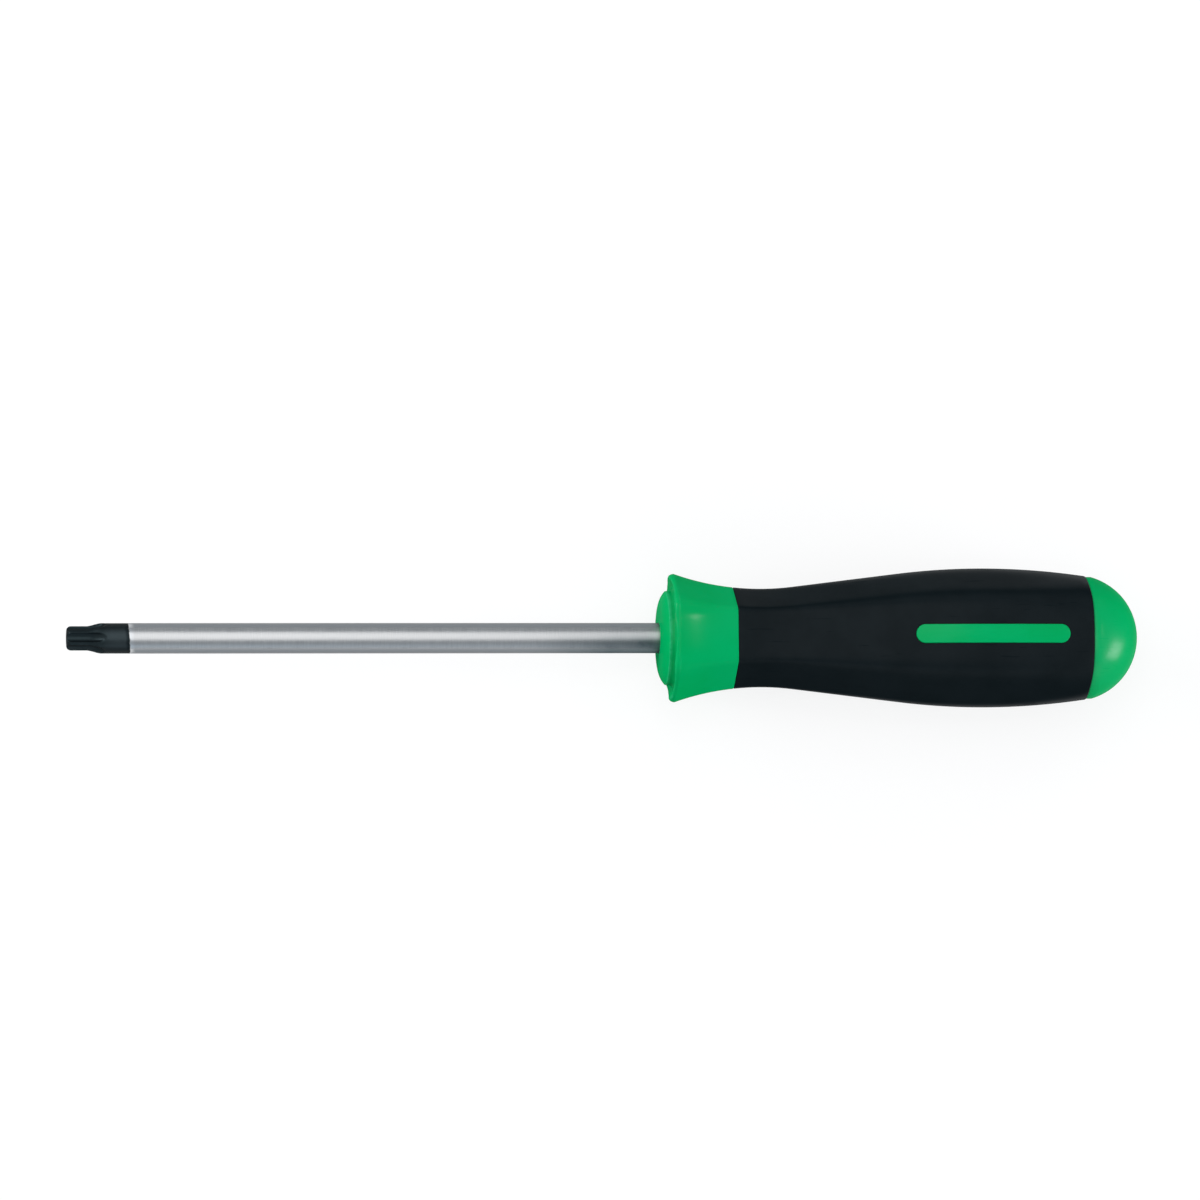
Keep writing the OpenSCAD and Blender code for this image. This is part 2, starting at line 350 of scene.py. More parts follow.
# thin glossy skin of a moulding, dulled where it is scuffed or turns away and stronger at its outline
def setFilm(tree, shader, mask, scuff, values, wear=None):
    facing = addNode(tree, "ShaderNodeLayerWeight").outputs["Facing"]
    turned = mapRange(tree, facing, *filmFade["turned"], 1.0, values["filmTurned"])
    start = values["outlineFrom"]
    outline = mapRange(tree, facing, start, start + filmFade["outlineWidth"], 0.0, values["filmOutline"])
    rim = mapRange(tree, facing, *filmFade["rim"], 1.0, filmFade["rimShare"])
    outline = mathNode(tree, "MULTIPLY", outline, rim)
    skin = spanNoise(tree, mask, *values["film"])
    kept = mapRange(tree, scuff, 0.0, 1.0, 1.0, filmFade["scuffShare"])
    seen = mathNode(tree, "MULTIPLY", mathNode(tree, "ADD", turned, outline), kept)
    if wear:
        seen = mathNode(tree, "MULTIPLY", seen, wear)
    tree.links.new(mathNode(tree, "MULTIPLY", skin, seen), shader.inputs["Coat Weight"])
    setInputs(shader, Coat_Roughness=values["filmRough"], Coat_IOR=values["filmIor"])
    setInputs(shader, Specular_IOR_Level=values["specular"])


green = {
    "base": (0.0003, 0.35, 0.106),
    "deep": (0.0002, 0.328, 0.088),
    # painted highlight: a paler, whiter green for the front edges
    "edgePale": (0.03, 0.42, 0.19),
    "edgePaleShare": 0.5,
    "highlightEnd": (5.0, 9.0),   # mm behind the nose, where the painted highlight ends
    "rough": (0.3, 0.4),
    "specular": 0.0,
    "film": (0.045, 0.054),   # weight of the thin glossy skin
    "filmTurned": 0.32,       # share of it left where the surface turns away
    "filmOutline": 0.6,       # share added at the outline
    "outlineFrom": 0.6,
    "filmRough": 0.15,
    "filmIor": 2.5,
    "nearGloss": 0.35,        # share of it left by wear on the near side
    "wearBand": 4.0,          # mm to each side of the middle, over which that fades
}
palmGreen = dict(green, filmRough=0.28, nearGloss=2.4)   # the cap, which the palm polishes there


def makeGreenPlastic(name, values):
    material, tree, shader = newMaterial(name)
    grain = useGroup(tree, grainGroup, Grain_Scale=2600.0, Cloud_Scale=55.0)
    edge = useGroup(tree, edgeGroup, Start=0.514, Full=0.535, Break_Scale=700.0)
    scuff = useGroup(tree, scuffGroup, Scale=140.0, Cover=0.64)
    cloud = spanNoise(tree, grain.outputs["Cloud"])
    colour = mixColour(tree, cloud, values["deep"], values["base"])
    # painted highlight: the sharp edges at the front of the collar are laid on in a paler, whiter green,
    # standing in for glints on the rim and nose
    axes = addNode(tree, "ShaderNodeSeparateXYZ")
    tree.links.new(addNode(tree, "ShaderNodeTexCoord").outputs["Object"], axes.inputs["Vector"])
    highlightEnd = inMetres(noseX + reach for reach in values["highlightEnd"])
    front = mapRange(tree, axes.outputs["X"], *highlightEnd, values["edgePaleShare"], 0.0)
    edgePaleMask = mathNode(tree, "MULTIPLY", edge.outputs["Edge"], front)
    colour = mixColour(tree, edgePaleMask, colour, values["edgePale"])
    tree.links.new(colour, shader.inputs["Base Color"])
    setRoughness(tree, shader, grain.outputs["Cloud"], values["rough"])
    band = values["wearBand"] * mm
    wear = mapRange(tree, axes.outputs["Y"], -band, band, values["nearGloss"], 1.0)
    setFilm(tree, shader, grain.outputs["Cloud"], scuff.outputs["Scuff"], values, wear)
    addBump(tree, shader, grain.outputs["Grain"], strength=0.12, distance=0.00003)
    return material


rubber = {
    "base": (0.0028, 0.0062, 0.0079),
    "deep": (0.0021, 0.005, 0.0064),
    "edgePale": (0.011, 0.0165, 0.019),
    "edgePaleShare": 0.5,
    "rough": (0.6, 0.75),
    "specular": 0.0,
    "film": (0.115, 0.14),    # weight of the dull gloss of its skin
    "filmTurned": 0.25,
    "filmOutline": 2.1,
    "outlineFrom": 0.5,
    "filmRough": 0.5,
    "filmIor": 1.8,
    "sheen": 0.04,
    "sheenRough": 0.25,
}


def makeGripRubber():
    material, tree, shader = newMaterial("gripRubber")
    grain = useGroup(tree, grainGroup, Grain_Scale=4200.0, Cloud_Scale=90.0)
    edge = useGroup(tree, edgeGroup, Start=0.52, Full=0.6, Break_Scale=1100.0)
    scuff = useGroup(tree, scuffGroup, Scale=90.0, Cover=0.68)
    cloud = spanNoise(tree, grain.outputs["Cloud"])
    colour = mixColour(tree, cloud, rubber["deep"], rubber["base"])
    edgePaleMask = mathNode(tree, "MULTIPLY", edge.outputs["Edge"], rubber["edgePaleShare"])
    colour = mixColour(tree, edgePaleMask, colour, rubber["edgePale"])
    tree.links.new(colour, shader.inputs["Base Color"])
    setRoughness(tree, shader, grain.outputs["Cloud"], rubber["rough"])
    setFilm(tree, shader, grain.outputs["Cloud"], scuff.outputs["Scuff"], rubber)
    setInputs(shader, Sheen_Weight=rubber["sheen"], Sheen_Roughness=rubber["sheenRough"])
    addBump(tree, shader, grain.outputs["Grain"], strength=0.35, distance=0.00005)
    return material


steel = {
    "chrome": (0.618, 0.615, 0.612),
    "chromeDeep": (0.548, 0.545, 0.542),
    # painted shade: darker chrome laid on towards the outline, standing in for dark reflections there
    "chromeOutlineShade": (0.2, 0.225, 0.249),
    "chromeShadeTurn": ((0.2, 0.38), 0.8),   # painted shade: turned so far it takes the darker outline colour, by this share
    # painted highlight: paler chrome in a band just behind the oxide
    "chromeGlint": (0.68, 0.69, 0.7),
    "glintBand": (0.2, 1.4),      # mm behind the oxide
    "glintShare": 0.8,
    # painted shade: darker chrome towards the collar
    "collarShade": (0.092, 0.132, 0.14),
    "collarShadeReach": 34.0,           # mm in front of the nose
    "collarShadeSide": (-1.8, 1.2),     # mm sideways, from the darker side to the lighter one
    "collarShadeFar": 0.15,           # share on the lighter side
    "collarShadePatch": (0.7, 1.0),
    "edgeTint": (0.2, 0.21, 0.22, 1.0),
    "lineScale": 5200.0,
    "lineStretch": (1.0, 0.06, 0.06),
    "shine": (0.32, 0.42),
    "oxide": (0.02, 0.03, 0.033),
    "oxideWorn": (0.07, 0.085, 0.088),
    "wornShare": 0.6,
    "wornCloud": (0.45, 0.75),
    "wornCloudShare": 0.25,
    # darker oxide, used for painted shade at the outline and for the darker band before the oxide ends
    "oxideDark": (0.006, 0.01, 0.012),
    "oxideShadeTurn": ((0.08, 0.32), 0.75),
    # the oxide is darker over this band before it ends
    "endDarkBand": (-1.2, -0.3),    # mm from where the oxide ends
    "endDarkShare": 0.75,
    # painted light: paler oxide behind the flutes, standing in for the broad highlight on the round part
    "oxideLit": (0.04, 0.052, 0.057),
    "oxideLitBand": (7.8, 10.5),      # mm from the end of the tip
    "oxideLitShare": 0.7,
    "oxideMetal": 0.7,
    "oxideRough": (0.32, 0.42),
    "oxideEnd": 14.4,             # mm from the end of the tip
    "oxideSlant": -0.06,          # mm along per mm sideways
    "oxideFray": 0.5,             # mm of unevenness at its edge
    "frayScale": 900.0,
    "oxideBlur": 0.12,            # mm of softness at its edge, each way
}
outlineShadeFade = {"span": (0.5, 0.75), "share": 0.35}


# painted shade: share of a darker tone laid into the metal's colour where it turns away from the eye, less
# again at its outline
def outlineShade(tree, facing, span, share):
    turned = mapRange(tree, facing, *span, 0.0, share)
    fade = mapRange(tree, facing, *outlineShadeFade["span"], 1.0, outlineShadeFade["share"])
    return mathNode(tree, "MULTIPLY", turned, fade)


def makeBladeSteel():
    material, tree, shader = newMaterial("bladeSteel")
    place = addNode(tree, "ShaderNodeTexCoord").outputs["Object"]
    axes = addNode(tree, "ShaderNodeSeparateXYZ")
    tree.links.new(place, axes.inputs["Vector"])
    grain = useGroup(tree, grainGroup, Grain_Scale=5200.0, Cloud_Scale=130.0)
    edge = useGroup(tree, edgeGroup, Start=0.53, Full=0.64, Break_Scale=1600.0)
    # where the black finish ends
    fray = mathNode(tree, "SUBTRACT", noiseNode(tree, place, steel["frayScale"]), 0.5)
    limit = mathNode(tree, "MULTIPLY", fray, steel["oxideFray"] * mm)
    slant = mathNode(tree, "MULTIPLY", axes.outputs["Y"], steel["oxideSlant"])
    limit = mathNode(tree, "ADD", mathNode(tree, "ADD", limit, slant), steel["oxideEnd"] * mm)
    past = mathNode(tree, "SUBTRACT", axes.outputs["X"], limit)
    blur = steel["oxideBlur"] * mm
    bare = mapRange(tree, past, -blur, blur)
    # ground lines run round the bar
    stretch = addNode(tree, "ShaderNodeMapping")
    tree.links.new(place, stretch.inputs["Vector"])
    setInputs(stretch, Scale=steel["lineStretch"])
    lines = noiseNode(tree, stretch.outputs["Vector"], steel["lineScale"], detail=3.0, roughness=0.6)
    chrome = mixColour(tree, spanNoise(tree, lines), steel["chromeDeep"], steel["chrome"])
    # painted shade: the plating is darkened where it turns away from the eye
    facing = addNode(tree, "ShaderNodeLayerWeight").outputs["Facing"]
    chrome = mixColour(tree, outlineShade(tree, facing, *steel["chromeShadeTurn"]), chrome, steel["chromeOutlineShade"])
    # painted shade: the chrome is darkened towards the collar, most on the near side, in patches
    near = mapRange(tree, axes.outputs["X"], (noseX - steel["collarShadeReach"]) * mm, noseX * mm)
    under = mapRange(tree, axes.outputs["Y"], *inMetres(steel["collarShadeSide"]), 1.0, steel["collarShadeFar"])
    patchy = spanNoise(tree, grain.outputs["Cloud"], *steel["collarShadePatch"])
    collarShade = mathNode(tree, "MULTIPLY", mathNode(tree, "MULTIPLY", near, under), patchy)
    worn = mathNode(tree, "MULTIPLY", edge.outputs["Edge"], steel["wornShare"])
    cloud = mapRange(tree, grain.outputs["Cloud"], *steel["wornCloud"], 0.0, steel["wornCloudShare"])
    oxide = mixColour(tree, mathNode(tree, "MAXIMUM", worn, cloud), steel["oxide"], steel["oxideWorn"])
    # painted light: the oxide is paler behind the flutes, and painted shade darkens it where it turns away
    # from the eye
    oxideLitMask = mapRange(tree, axes.outputs["X"], *inMetres(steel["oxideLitBand"]), 0.0, steel["oxideLitShare"])
    oxide = mixColour(tree, oxideLitMask, oxide, steel["oxideLit"])
    oxide = mixColour(tree, outlineShade(tree, facing, *steel["oxideShadeTurn"]), oxide, steel["oxideDark"])
    # the oxide is darker just before it ends, and a painted highlight lies on the chrome just behind
    endDark = mapRange(tree, past, *inMetres(steel["endDarkBand"]), 0.0, steel["endDarkShare"])
    oxide = mixColour(tree, endDark, oxide, steel["oxideDark"])
    glint = mapRange(tree, past, *inMetres(steel["glintBand"]), steel["glintShare"], 0.0)
    chrome = mixColour(tree, glint, chrome, steel["chromeGlint"])
    chrome = mixColour(tree, collarShade, chrome, steel["collarShade"])
    tree.links.new(mixColour(tree, bare, oxide, chrome), shader.inputs["Base Color"])
    tree.links.new(mathNode(tree, "MAXIMUM", bare, steel["oxideMetal"]), shader.inputs["Metallic"])
    shine = spanNoise(tree, lines, *steel["shine"])
    dull = spanNoise(tree, grain.outputs["Cloud"], *steel["oxideRough"])
    rough = addNode(tree, "ShaderNodeMix", data_type="FLOAT")
    tree.links.new(bare, rough.inputs[0])
    tree.links.new(dull, rough.inputs[2])
    tree.links.new(shine, rough.inputs[3])
    tree.links.new(rough.outputs[0], shader.inputs["Roughness"])
    setInputs(shader, Specular_Tint=steel["edgeTint"])
    height = mathNode(tree, "ADD", grain.outputs["Grain"], lines)
    addBump(tree, shader, height, strength=0.06, distance=0.00002)
    return material


core = {"base": (0.26, 0.27, 0.24), "deep": (0.21, 0.215, 0.195), "rough": (0.45, 0.6)}


def makeCorePlastic():
    material, tree, shader = newMaterial("corePlastic")
    grain = useGroup(tree, grainGroup, Grain_Scale=1800.0, Cloud_Scale=40.0)
    colour = mixColour(tree, grain.outputs["Cloud"], core["deep"], core["base"])
    tree.links.new(colour, shader.inputs["Base Color"])
    setRoughness(tree, shader, grain.outputs["Cloud"], core["rough"])
    addBump(tree, shader, grain.outputs["Grain"], strength=0.2, distance=0.00005)
    return material


greenPlastic = makeGreenPlastic("greenPlastic", green)
palmPlastic = makeGreenPlastic("palmPlastic", palmGreen)
gripRubber = makeGripRubber()
bladeSteel = makeBladeSteel()
corePlastic = makeCorePlastic()
print("materials made")


# blade: pin hole, six-lobe tip, flare, shank and tang
blade = {
    "steps": 32,           # points on one lobe
    "lobes": 6,
    "lobeR": 2.8,
    "rootR": 2.025,
    "fluteR": 1.2,
    "fluteOpen": 3,        # slope beyond the side of a flute
    "edgeBlend": 0.22,     # rounding of the lobes' edges
    "tipLen": 4.8,
    "flareEnd": 7.9,
    "flareMix": (0.45, 0.55),   # shares of an eased and a straight flare
    "runoutR": 6.6,
    "runoutEnd": 10.0,
    "tipRings": 54,
    "chamferLen": 1.1,
    "chamfer": 0.95,
    "chamferRings": 10,
    "pinR": 1.3,
    "pinDepth": 4.0,
    "pinPoint": 0.75,
    "pinBreak": 0.12,
    "pinStops": (2.0, 0.6),
    "shankR": 3.5,
    "shankStart": 0.5,     # behind the run-out
    "shankRings": 24,
    "shoulder": 0.01,
    "tangR": 3.2,
    "tangChamfer": 1.0,
    "wingOut": 2.0,
    "wingHalf": 1.1,
    "wingLen": 11.0,
    "wingBack": 4.0,
    "wingGap": 5.0,
    "sharpAngle": 35,
}


def bladeOuter(x):
    b = blade
    if x < b["chamferLen"]:
        turn = acos(1 - x / b["chamferLen"])
        return b["lobeR"] - b["chamfer"] * (1 - sin(turn))
    share = min(1, max(0, (x - b["tipLen"]) / (b["flareEnd"] - b["tipLen"])))
    eased = share * share * (3 - 2 * share)
    easedShare, straightShare = b["flareMix"]
    return b["lobeR"] + (b["shankR"] - b["lobeR"]) * (easedShare * eased + straightShare * share)


def softMin(a, b, blend):
    h = max(blend - abs(a - b), 0) / blend
    return min(a, b) - h * h * blend / 4


def starRing(x):
    b = blade
    outer = bladeOuter(x)
    bend = min(max(0, x - b["tipLen"]), b["runoutR"])
    off = b["rootR"] + b["fluteR"] + b["runoutR"] - sqrt(b["runoutR"] ** 2 - bend ** 2)
    sector = 2 * pi / b["lobes"]

    def shape(angle):
        turn = abs(angle - round(angle / sector) * sector)
        side = off * sin(turn)
        gap = b["fluteR"] ** 2 - side ** 2
        wall = -sqrt(gap) if gap > 0 else b["fluteOpen"] * (side - b["fluteR"])
        return softMin(outer, off * cos(turn) + wall, b["edgeBlend"])

    return x, shape


def makeBlade():
    b = blade
    shoulder, tail = noseX, bladeBox[1].x
    rings = [roundRing(b["pinDepth"] + b["pinPoint"], closeR), roundRing(b["pinDepth"], b["pinR"])]
    rings += [roundRing(x, b["pinR"]) for x in (*b["pinStops"], b["pinBreak"])]
    rings += [roundRing(0, b["pinR"] + b["pinBreak"])]
    turns = spread(0, pi / 2, b["chamferRings"])[:-1]
    rings += [starRing(b["chamferLen"] * (1 - cos(turn))) for turn in turns]
    rings += [starRing(x) for x in spread(b["chamferLen"], b["runoutEnd"], b["tipRings"])]
    shankAt = b["runoutEnd"] + b["shankStart"]
    rings += [roundRing(x, b["shankR"]) for x in spread(shankAt, shoulder, b["shankRings"])]
    wingStarts = [tail - b["wingBack"] - b["wingLen"] - i * (b["wingLen"] + b["wingGap"]) for i in (1, 0)]
    places = [shoulder + b["shoulder"]]
    for start in wingStarts:
        places += [start, start + b["wingLen"]]
    rings += [roundRing(x, b["tangR"]) for x in places + [tail - b["tangChamfer"]]]
    rings += [roundRing(tail, b["tangR"] - b["tangChamfer"]), roundRing(tail, closeR)]
    bm = loft(rings, b["lobes"], b["steps"], bias=1.0, closed=False)
    # two pairs of pressed wings, the front pair turned a quarter
    for start, axis in zip(wingStarts, ("y", "z")):
        for sign in (-1, 1):
            def inWing(f):
                c = f.calc_center_median()
                across = c.y if axis == "z" else c.z
                along = getattr(c, axis) * sign
                return start < c.x < start + b["wingLen"] and abs(across) < b["wingHalf"] and along > 0
            patch = [f for f in bm.faces if inWing(f)]
            grown = bmesh.ops.extrude_face_region(bm, geom=patch)["geom"]
            bmesh.ops.delete(bm, geom=patch, context="FACES_ONLY")
            for v in [g for g in grown if isinstance(g, bmesh.types.BMVert)]:
                setattr(v.co, axis, sign * (b["tangR"] + b["wingOut"]))
    finishPiece("bladeBar", bm, "blade", bladeSteel, b["sharpAngle"])


makeBlade()

# front collar: flat nose with a rounded edge, cove, dished hexagonal rim and hollow flare
collar = {
    "noseR": 10.9,
    "noseFlatR": 7.0,
    "noseDrop": 1.5,     # from the flat front to the edge of the nose
    "coveR": 1.0,
    "coveAt": 3.3,
    "dish": 30,          # degrees by which the front of the rim leans forwards
    "lipAt": 1.8,
    "rimRound": 1.8,
    "edgeRound": 0.4,    # reach of the blend between dish and rim, each way
    "rimEnd": 4.8,
    "rearRound": 0.22,
    "boreR": 3.52,
    "coreFront": 7.0,
    "noseRings": 8,
    "edgeRings": 12,
    "coveRings": 12,
    "dishRings": 20,
    "blendSteps": 6,
    "rimSamples": 60,
    "flareRings": 16,
}


def coreHalf(s, w):
    return halfWidth(max(s, handle["neckAt"]), w) - handle["wall"]


def gripRing(s, inset=0.0):
    return hexRing(noseX + s, halfWidth(s, handle["corners"]) - inset, halfWidth(s, handle["flats"]) - inset)


def coreRing(s):
    gap = handle["coreGap"]
    return hexRing(noseX + s, coreHalf(s, handle["corners"]) + gap, coreHalf(s, handle["flats"]) + gap)


# rounded outside of the rim before its dish is cut
def rimRing(s):
    short = min(max(0, handle["rimAt"] - s), collar["rimRound"])
    drop = collar["rimRound"] - sqrt(collar["rimRound"] ** 2 - short ** 2)
    s = max(s, handle["rimAt"])
    return halfWidth(s, handle["corners"]) - drop, halfWidth(s, handle["flats"]) - drop


# rings from the foot of the dish over its edge to the outside of the rim
def dishRings():
    c = collar
    count = c["dishRings"]
    lean = radians(c["dish"])
    footX = c["coveAt"] - c["coveR"] * (1 - cos(lean))
    footR = c["noseR"] + c["coveR"] * (1 + sin(lean))
    places = spread(c["lipAt"], c["rimEnd"], c["rimSamples"])
    outside = [hexRing(s, *rimRing(s)) for s in places]
    lines = {}

    def line(angle):
        if angle not in lines:
            points = [Vector((s, shape(angle))) for s, shape in outside]
            points = [p for p in points if p.x > footX - (p.y - footR) * tan(lean)]
            edge = points[0]
            before = edge + Vector((sin(lean), -cos(lean))) * c["edgeRound"]
            rest = [p for p in points if p.x > edge.x + c["edgeRound"]]
            shares = spread(0, 1, c["blendSteps"])
            blend = [before.lerp(edge, t).lerp(edge.lerp(rest[0], t), t) for t in shares]
            along = [rest[round(i)] for i in spread(0, len(rest) - 1, count - len(blend))]
            lines[angle] = blend + along[1:]
        return lines[angle]

    def ring(index):
        return lambda angle: noseX + line(angle)[index].x, lambda angle: line(angle)[index].y

    return [ring(index) for index in range(count - 1)]


def makeCollar():
    c = collar
    edgeWidth = c["noseR"] - c["noseFlatR"]
    edgeR = (edgeWidth ** 2 + c["noseDrop"] ** 2) / (2 * c["noseDrop"])
    edgeTurn = atan2(edgeWidth, edgeR - c["noseDrop"])
    rings = [roundRing(noseX, r) for r in spread(c["boreR"], c["noseFlatR"], c["noseRings"])[:-1]]
    for turn in spread(0, edgeTurn, c["edgeRings"]):
        rings.append(roundRing(noseX + edgeR * (1 - cos(turn)), c["noseFlatR"] + edgeR * sin(turn)))
    for turn in spread(0, pi / 2 + radians(c["dish"]), c["coveRings"]):
        x = noseX + c["coveAt"] - c["coveR"] * (1 - sin(turn))
        rings.append(roundRing(x, c["noseR"] + c["coveR"] * (1 - cos(turn))))
    rings += dishRings()
    rings += [gripRing(s) for s in spread(c["rimEnd"], collarEnd - c["rearRound"], c["flareRings"])[1:-1]]
    rings += [gripRing(collarEnd - along, inset) for along, inset in roundOver(c["rearRound"])[::-1]]
    rings += [coreRing(collarEnd), coreRing(c["coreFront"])]
    rings += [roundRing(noseX + c["coreFront"], c["boreR"])]
    bm = loft(rings, handle["sides"], handle["steps"], handle["cornerBias"], closed=True)
    finishPiece("frontCollar", bm, "front_collar", greenPlastic)


makeCollar()

# soft grip with the pocket for the inlay
grip = {"endRound": 0.25, "rings": 56, "boreRings": 20}
inlay = {
    "back": 5.7,          # from the rear end of the grip
    "len": 36.0,
    "width": 4.4,
    "depth": 1.2,
    "gap": 0.08,
    "edge": 0.18,
    "edgeSteps": 3,
    "rimAngle": 1.0,      # radians, a sharper edge counts as rim
    "rimBelow": 0.1,      # and so near the top
    "cutLift": 1.0,       # reach of the pocket's cutter above the grip
    "slices": 18,
    "endPoints": 48,
}


def inlayBar(grow, lift):
    i = inlay
    r = i["width"] / 2 + grow
    reach = (i["len"] - i["width"]) / 2
    middle = capStart - i["back"] - i["len"] / 2
    bm = bmesh.new()
    bmesh.ops.create_circle(bm, cap_ends=True, segments=i["endPoints"], radius=r)
    bmesh.ops.rotate(bm, verts=bm.verts, matrix=Matrix.Rotation(pi / i["endPoints"], 3, "Z"))
    for v in bm.verts:
        v.co.x += reach if v.co.x > 0 else -reach
    for x in spread(-reach, reach, i["slices"]):
        geom = bm.verts[:] + bm.edges[:] + bm.faces[:]
        bmesh.ops.bisect_plane(bm, geom=geom, plane_co=(x, 0, 0), plane_no=(1, 0, 0))
    top = bmesh.ops.extrude_face_region(bm, geom=bm.faces[:])["geom"]
    topVerts = {g for g in top if isinstance(g, bmesh.types.BMVert)}
    for v in bm.verts:
        s = middle + v.co.x
        flat = halfWidth(s, handle["flats"])
        v.co.z = flat + lift if v in topVerts else flat - i["depth"] - grow
        v.co.x = noseX + s
    bmesh.ops.recalc_face_normals(bm, faces=bm.faces)
    return bm


def makeGrip():
    g = grip
    edge = roundOver(g["endRound"])
    rings = [gripRing(collarEnd + along, inset) for along, inset in edge]
    places = spread(collarEnd + g["endRound"], capStart - g["endRound"], g["rings"])
    rings += [gripRing(s) for s in places[1:-1]]
    rings += [gripRing(capStart - along, inset) for along, inset in edge[::-1]]
    rings += [coreRing(s) for s in spread(capStart, collarEnd, g["boreRings"])]
    bm = loft(rings, handle["sides"], handle["steps"], handle["cornerBias"], closed=True)
    piece = finishPiece("softGrip", bm, "grip_sleeve", gripRubber)
    cutter = inlayBar(inlay["gap"], inlay["cutLift"])
    bmesh.ops.scale(cutter, verts=cutter.verts, vec=(mm, mm, mm))
    cutMesh = bpy.data.meshes.new("pocketCutter")
    cutter.to_mesh(cutMesh)
    cutter.free()
    cutObject = bpy.data.objects.new("pocketCutter", cutMesh)
    scene.collection.objects.link(cutObject)
    pocket = piece.modifiers.new("pocket", "BOOLEAN")
    pocket.operation = "DIFFERENCE"
    pocket.solver = "EXACT"
    pocket.object = cutObject
    graph = bpy.context.evaluated_depsgraph_get()
    cut = bpy.data.meshes.new_from_object(piece.evaluated_get(graph))
    piece.modifiers.clear()
    piece.data = cut
    bpy.data.objects.remove(cutObject)
    bpy.data.meshes.remove(cutMesh)
    print("pocket cut,", len(cut.polygons), "faces")


def makeInlay():
    i = inlay
    bm = inlayBar(0.0, 0.0)

    def atTop(v):
        return v.co.z > halfWidth(v.co.x - noseX, handle["flats"]) - i["rimBelow"]

    rim = [e for e in bm.edges if len(e.link_faces) == 2 and e.calc_face_angle() > i["rimAngle"]]
    rim = [e for e in rim if all(atTop(v) for v in e.verts)]
    bmesh.ops.bevel(bm, geom=rim, offset=i["edge"], segments=i["edgeSteps"], profile=0.5, affect="EDGES",
                    material=-1)
    finishPiece("gripInlay", bm, "grip_inlay", greenPlastic)


makeGrip()
makeInlay()

# domed end cap, a little lower than the grip
cap = {
    "step": 0.2,
    "land": 1.4,
    "edge": 0.2,
    "flatFade": 0.3,
    "creaseRound": 0.5,
    "rings": 26,
    "seat": 4.2,
    "spigotR": 5.0,
    "spigotLen": 13.0,
    "spigotChamfer": 0.8,
}


def makeCap():
    c = cap
    corner = halfWidth(capStart, handle["corners"]) - c["step"]
    flat = halfWidth(capStart, handle["flats"]) - c["step"]
    domeAt = capStart + c["land"]

    def domeRadius(half, tail):
        return ((tail - domeAt) ** 2 + half ** 2) / (2 * (tail - domeAt))

    def dome(half, tail):
        r = domeRadius(half, tail)
        return lambda s: sqrt(max(0, r * r - (s - tail + r) ** 2))

    cornerDome = dome(corner, handleEnd)
    flatDome = dome(flat, handleEnd + c["flatFade"])
    domeTurn = 2 * atan((handleEnd - domeAt) / corner)
    coreEnd = capStart - c["seat"]
    spigotAt = noseX + coreEnd - c["spigotLen"]
    rings = [roundRing(spigotAt, closeR), roundRing(spigotAt, c["spigotR"] - c["spigotChamfer"])]
    rings += [roundRing(x, c["spigotR"]) for x in (spigotAt + c["spigotChamfer"], noseX + coreEnd)]
    for s in (coreEnd, capStart):
        rings.append(hexRing(noseX + s, coreHalf(s, handle["corners"]), coreHalf(s, handle["flats"])))
    for along, inset in roundOver(c["edge"]):
        rings.append(hexRing(noseX + capStart + along, corner - inset, flat - inset))
    rings.append(hexRing(noseX + domeAt - c["creaseRound"], corner, flat))
    for turn in spread(domeTurn, 0, c["rings"])[:-1]:
        s = handleEnd - domeRadius(corner, handleEnd) * (1 - cos(turn))
        wide = cornerDome(s)
        rings.append(hexRing(noseX + s, wide, min(wide, flatDome(s))))
    rings.append(roundRing(noseX + handleEnd, 0.0))
    bm = loft(rings, handle["sides"], handle["steps"], handle["cornerBias"], closed=False)
    finishPiece("endCap", bm, "end_cap", palmPlastic)


makeCap()

# the moulded core stays as it is and gets its finish
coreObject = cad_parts["handle_core"]
coreObject.data.materials.clear()
coreObject.data.materials.append(corePlastic)

# floor under the lowest flats
floor = {
    "size": 8.0,         # lengths in metres
    "middle": 0.12,
    "below": 0.00005,
    "cells": 4,
    "colour": (0.2, 0.2, 0.2),
    "glow": 0.8,
}


def makeFloor():
    bm = bmesh.new()
    bmesh.ops.create_grid(bm, x_segments=floor["cells"], y_segments=floor["cells"], size=floor["size"] / 2)
    bmesh.ops.translate(bm, verts=bm.verts, vec=(floor["middle"], 0, lowestZ * mm - floor["below"]))
    mesh = bpy.data.meshes.new("floor")
    bm.to_mesh(mesh)
    bm.free()
    piece = bpy.data.objects.new("floor", mesh)
    scene.collection.objects.link(piece)
    material, tree, shader = newMaterial("paleFloor")
    tree.nodes.remove(shader)
    diffuse = addNode(tree, "ShaderNodeBsdfDiffuse")
    setInputs(diffuse, Color=(*floor["colour"], 1))
    light = addNode(tree, "ShaderNodeLightPath").outputs
    seen = mathNode(tree, "MAXIMUM", light["Is Camera Ray"], light["Is Glossy Ray"])
    seen = mathNode(tree, "MAXIMUM", seen, light["Is Transmission Ray"])
    glow = addNode(tree, "ShaderNodeEmission")
    tree.links.new(mathNode(tree, "MULTIPLY", seen, floor["glow"]), glow.inputs["Strength"])
    both = addNode(tree, "ShaderNodeAddShader")
    tree.links.new(diffuse.outputs[0], both.inputs[0])
    tree.links.new(glow.outputs[0], both.inputs[1])
    tree.links.new(both.outputs[0], tree.nodes["Material Output"].inputs["Surface"])
    mesh.materials.append(material)
    print("floor laid at", round(lowestZ, 2), "mm")


makeFloor()

